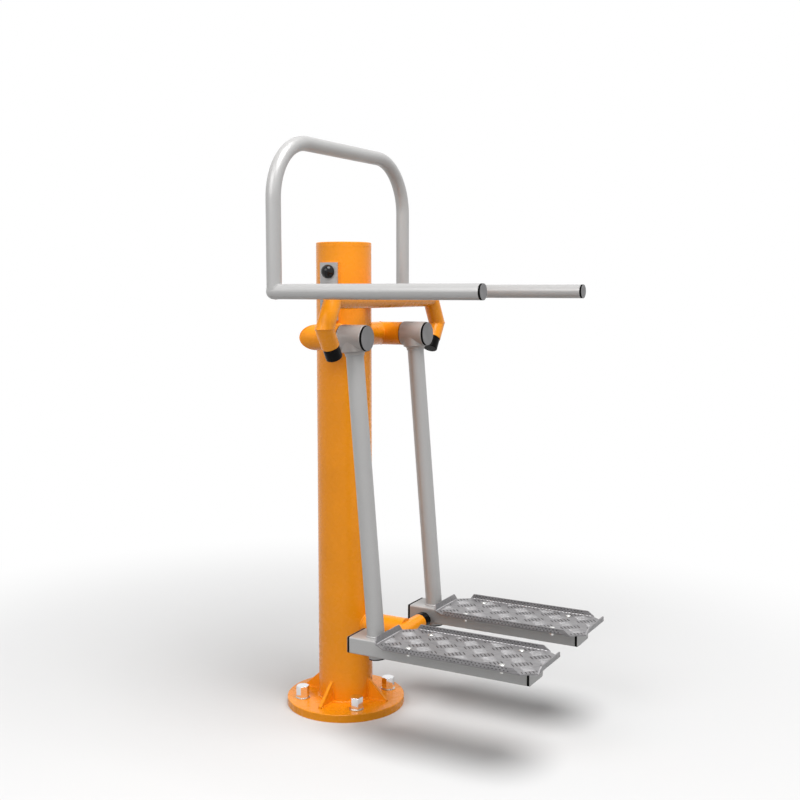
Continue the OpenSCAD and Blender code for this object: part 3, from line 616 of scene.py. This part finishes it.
# Ribs stop RIB_MARGIN short of sides and ends, and CORNER_SHARE keeps them off the corners
RIB_MARGIN, CORNER_SHARE = 9, 0.8
# A rib is tested in RIB_STEPS steps, and made if RIB_LEAST of its places are on the flat
RIB_STEPS, RIB_LEAST = 24, 6

# Pattern of the side lips: rows of teeth, whose middles are TOOTH_DROP under each row
LIP_PITCH, LIP_ROWS, LIP_MARGIN = 9.2, (7.6, 13.0), 5
TOOTH, TOOTH_DROP = (4.4, 3.0, 0.6), 1.2

# Raised lines in the folds, which carry a painted highlight, placed in from the tread's edge and
# up from its underside
SIDE_FOLD, SIDE_FOLD_MARGIN, SIDE_FOLD_RUN = (3.6, 3.6), 6, (7.4, 2.6, 1.0)
END_FOLD, END_FOLD_MARGIN, END_FOLD_W, END_FOLD_H = (3.75, 3.45), 4, 2.4, 0.9
# The inside of an end fold faces this much toward the tread's middle, and this much up
END_FOLD_FACING = (0.63, 0.78)


def on_flat(at):
    """Whether a place on the tread, as forward and inward distances, is on its flat."""
    u, w = at.x - TREAD_BACK, abs(at.y)
    if not (RIB_MARGIN < u < TREAD_LEN - RIB_MARGIN and w < TREAD_W / 2 - RIB_MARGIN):
        return False
    from_end = min(u, TREAD_LEN - u)
    cut = w - (TREAD_W / 2 - CORNER_W)
    return cut < 0 or cut / CORNER_W + (CORNER_L - from_end) / CORNER_L < CORNER_SHARE


def clipped_rib(centre, along, length):
    """The part of a rib that lies on the flat, as its middle and length, or None."""
    places = [centre + along * length * (k / RIB_STEPS - 0.5) for k in range(RIB_STEPS + 1)]
    inside = [p for p in places if on_flat(p)]
    if len(inside) < RIB_LEAST:
        return None
    return (inside[0] + inside[-1]) / 2, (inside[-1] - inside[0]).length


def add_ribs(skin, side, group, middle):
    """One group of parallel ribs round its middle, clipped to the flat of a tread."""
    along = group["along"]
    way = Vector((along.y, -along.x, 0))
    for k in range(group["count"]):
        at = middle + group["stack"] * (k - (group["count"] - 1) / 2) * group["pitch"]
        rib = clipped_rib(at, along, group["length"])
        if rib:
            spot, length = rib
            centre = Vector((side * HUB_X + spot.y, -spot.x, BEAM_TOP_Z + TREAD_T))
            ridge(skin, centre, way, UP, (length, RIB_W, RIB_RISE))


def repeat_ribs(skin, side, group):
    """A group of ribs, repeated over the whole flat of a tread."""
    reach = range(-LATTICE_REACH, LATTICE_REACH + 1)
    for i in reach:
        for j in reach:
            add_ribs(skin, side, group, group["at"] + i * LATTICE[0] + j * LATTICE[1])


def lip_teeth(skin, side):
    """Teeth on both faces of the side lips, in rows up the lip."""
    start, end = TREAD_BACK + CORNER_L, TREAD_BACK + TREAD_LEN - CORNER_L
    for hand in (-1, 1):
        for face in (0, 1):
            x = side * HUB_X + hand * (TREAD_W / 2 - face * TREAD_T)
            out = Vector((hand * (1 - 2 * face), 0, 0))
            for row in LIP_ROWS:
                inset = LIP_MARGIN + row
                z = BEAM_TOP_Z + row - TOOTH_DROP
                for k in range(int((end - start - 2 * inset) / LIP_PITCH)):
                    y = -(start + inset + k * LIP_PITCH)
                    ridge(skin, Vector((x, y, z)), FORWARD, out, TOOTH)


def side_fold_lines(skin, side):
    """Short raised runs along the folds of the side lips, which carry a painted highlight."""
    inward, rise = SIDE_FOLD
    run = TREAD_LEN - 2 * (CORNER_L + SIDE_FOLD_MARGIN)
    count = int(run / LIP_PITCH)
    for hand in (-1, 1):
        normal = Vector((-hand, 0, 1)).normalized()
        x = side * HUB_X + hand * (TREAD_W / 2 - inward)
        for k in range(count):
            y = -(TREAD_BACK + CORNER_L + SIDE_FOLD_MARGIN + (k + 0.5) * run / count)
            centre = Vector((x, y, BEAM_TOP_Z + rise))
            ridge(skin, centre, FORWARD, normal, SIDE_FOLD_RUN)


def end_fold_lines(skin, side):
    """One raised line along the fold of each end lip, which carries a painted highlight."""
    inward, rise = END_FOLD
    toward, up = END_FOLD_FACING
    size = (TREAD_W - 2 * (CORNER_W + END_FOLD_MARGIN), END_FOLD_W, END_FOLD_H)
    for end, hand in ((TREAD_BACK + inward, -1), (TREAD_BACK + TREAD_LEN - inward, 1)):
        normal = Vector((0, hand * toward, up)).normalized()
        centre = Vector((side * HUB_X, -end, BEAM_TOP_Z + rise))
        ridge(skin, centre, RIGHT, normal, size)


def tread_grip(name, side):
    """Raised pattern on the flat, the lips and the folds of a tread: bars and folds with a
    painted highlight, teeth with painted shade.
    """
    bars, teeth, folds = Skin(), Skin(), Skin()
    repeat_ribs(bars, side, LONG_RIBS)
    repeat_ribs(teeth, side, CROSS_RIBS)
    lip_teeth(teeth, side)
    side_fold_lines(folds, side)
    end_fold_lines(folds, side)
    for part, skin, metal in (("bars", bars, BAR_HIGHLIGHT_METAL), ("grip", teeth, TOOTH_SHADE_METAL),
                              ("folds", folds, FOLD_HIGHLIGHT_METAL)):
        piece = skin.object(f"{name}_tread_{part}")
        finish_piece(piece, f"{name}_pendulum", metal)


# Studio: the camera and mirror rays see white, and the rest get softer light from it


WHITE = (1, 1, 1, 1)
WALL_LIGHT, CEILING_LIGHT, CEILING_FROM = 0.95, 0.25, 0.6
FLOOR_SEEN, FLOOR_BOUNCE = 0.68, 0.22
FLOOR_R, FLOOR_SIDES, FLOOR_FADE = 9000, 96, (0.7, 2.0)
LAMPS = {
    "top_lamp": {"place": (-1.0, -2.2, 6.8), "target": (0, -0.3, 0.4), "size": 4.6, "power": 500},
    "left_lamp": {"place": (-2.7, 0.2, 2.6), "target": (0, -0.1, 0.8), "size": 2.0, "power": 42},
}
CAMERA_PLACE = (-2.3645, -1.47175, 1.0773)
CAMERA_YAW, CAMERA_PITCH = math.radians(28.97), math.radians(-5.784)
FOCAL_PX, IMAGE_PX, SENSOR_MM, CLIP_END = 1090.6, 800, 36, 60


def add_node(tree, kind, **values):
    node = tree.nodes.new(kind)
    for key, value in values.items():
        node.inputs[key].default_value = value
    return node


def add_mix(tree, factor, a, b):
    node = add_node(tree, "ShaderNodeMixShader")
    for socket, value in (("Fac", factor), (1, a), (2, b)):
        tree.links.new(value, node.inputs[socket])
    return node.outputs["Shader"]


def direct_rays(tree):
    """1 for camera, mirror and glass rays, which see the background as it looks."""
    rays = add_node(tree, "ShaderNodeLightPath").outputs
    value = rays["Is Camera Ray"]
    for kind in ("Is Glossy Ray", "Is Transmission Ray"):
        larger = add_node(tree, "ShaderNodeMath")
        larger.operation = "MAXIMUM"
        tree.links.new(value, larger.inputs[0])
        tree.links.new(rays[kind], larger.inputs[1])
        value = larger.outputs["Value"]
    return value


def distance_fade(tree):
    """0 near the object to 1 far from it, over FLOOR_FADE."""
    place = add_node(tree, "ShaderNodeTexCoord").outputs["Object"]
    distance = add_node(tree, "ShaderNodeVectorMath")
    distance.operation = "LENGTH"
    tree.links.new(place, distance.inputs[0])
    start, end = FLOOR_FADE
    fade = add_node(tree, "ShaderNodeMapRange", **{"From Min": start, "From Max": end})
    fade.interpolation_type = "SMOOTHSTEP"
    tree.links.new(distance.outputs["Value"], fade.inputs["Value"])
    return fade.outputs["Result"]


def floor_material():
    """White floor that fades into the backdrop and keeps the object's shadow."""
    material = bpy.data.materials.new("studio_floor")
    material.use_nodes = True
    tree = material.node_tree
    tree.nodes.clear()
    seen, bounced = (add_node(tree, "ShaderNodeBsdfDiffuse", Color=(level, level, level, 1))
                     for level in (FLOOR_SEEN, FLOOR_BOUNCE))
    glow = add_node(tree, "ShaderNodeEmission", Color=WHITE, Strength=1.0)
    shown = add_mix(tree, distance_fade(tree), seen.outputs["BSDF"], glow.outputs["Emission"])
    surface = add_mix(tree, direct_rays(tree), bounced.outputs["BSDF"], shown)
    output = add_node(tree, "ShaderNodeOutputMaterial")
    tree.links.new(surface, output.inputs["Surface"])
    return material


def make_floor():
    skin = Skin()
    rim = [Vector((math.cos(a), math.sin(a), 0)) * FLOOR_R for a in angles(FLOOR_SIDES)]
    skin.add(rim, [range(len(rim))])
    floor = skin.object("studio_floor", smooth=False)
    floor.data.materials.append(floor_material())


def make_world():
    """White for direct rays, and for the rest light that fades up to the ceiling."""
    world = bpy.data.worlds.new("studio")
    bpy.context.scene.world = world
    world.use_nodes = True
    tree = world.node_tree
    tree.nodes.clear()
    way = add_node(tree, "ShaderNodeTexCoord")
    height = add_node(tree, "ShaderNodeSeparateXYZ")
    tree.links.new(way.outputs["Generated"], height.inputs["Vector"])
    walls = add_node(tree, "ShaderNodeMapRange", **{
        "From Max": CEILING_FROM, "To Min": WALL_LIGHT, "To Max": CEILING_LIGHT})
    tree.links.new(height.outputs["Z"], walls.inputs["Value"])
    soft = add_node(tree, "ShaderNodeBackground", Color=WHITE)
    tree.links.new(walls.outputs["Result"], soft.inputs["Strength"])
    seen = add_node(tree, "ShaderNodeBackground", Color=WHITE, Strength=1.0)
    surface = add_mix(tree, direct_rays(tree), soft.outputs["Background"],
                      seen.outputs["Background"])
    output = add_node(tree, "ShaderNodeOutputWorld")
    tree.links.new(surface, output.inputs["Surface"])


def aim(obj, place, way):
    """Sets obj at a place, looking along way."""
    obj.location = place
    obj.rotation_euler = way.to_track_quat("-Z", "Y").to_euler()


def make_lights():
    for name, lamp in LAMPS.items():
        data = bpy.data.lights.new(name, "AREA")
        data.shape = "DISK"
        data.size = lamp["size"]
        data.energy = lamp["power"]
        way = Vector(lamp["target"]) - Vector(lamp["place"])
        aim(link(bpy.data.objects.new(name, data)), lamp["place"], way)


def make_camera():
    """The photograph's own view, found from the post, the beams and the bars."""
    data = bpy.data.cameras.new("camera")
    data.sensor_width = SENSOR_MM
    data.lens = FOCAL_PX / IMAGE_PX * SENSOR_MM
    data.clip_end = CLIP_END
    camera = link(bpy.data.objects.new("camera", data))
    level = math.cos(CAMERA_PITCH)
    way = Vector((level * math.cos(CAMERA_YAW), level * math.sin(CAMERA_YAW),
                  math.sin(CAMERA_PITCH)))
    aim(camera, CAMERA_PLACE, way)
    bpy.context.scene.camera = camera


bpy.context.scene.view_settings.view_transform = "Standard"
make_camera()
make_world()
make_lights()
make_floor()
dress_cad_nodes()
soften_cad_edges()
frame_welds()
pendulum_welds()
for side_name, side_sign in SIDES.items():
    tread_sheet(side_name)
    tread_grip(side_name, side_sign)
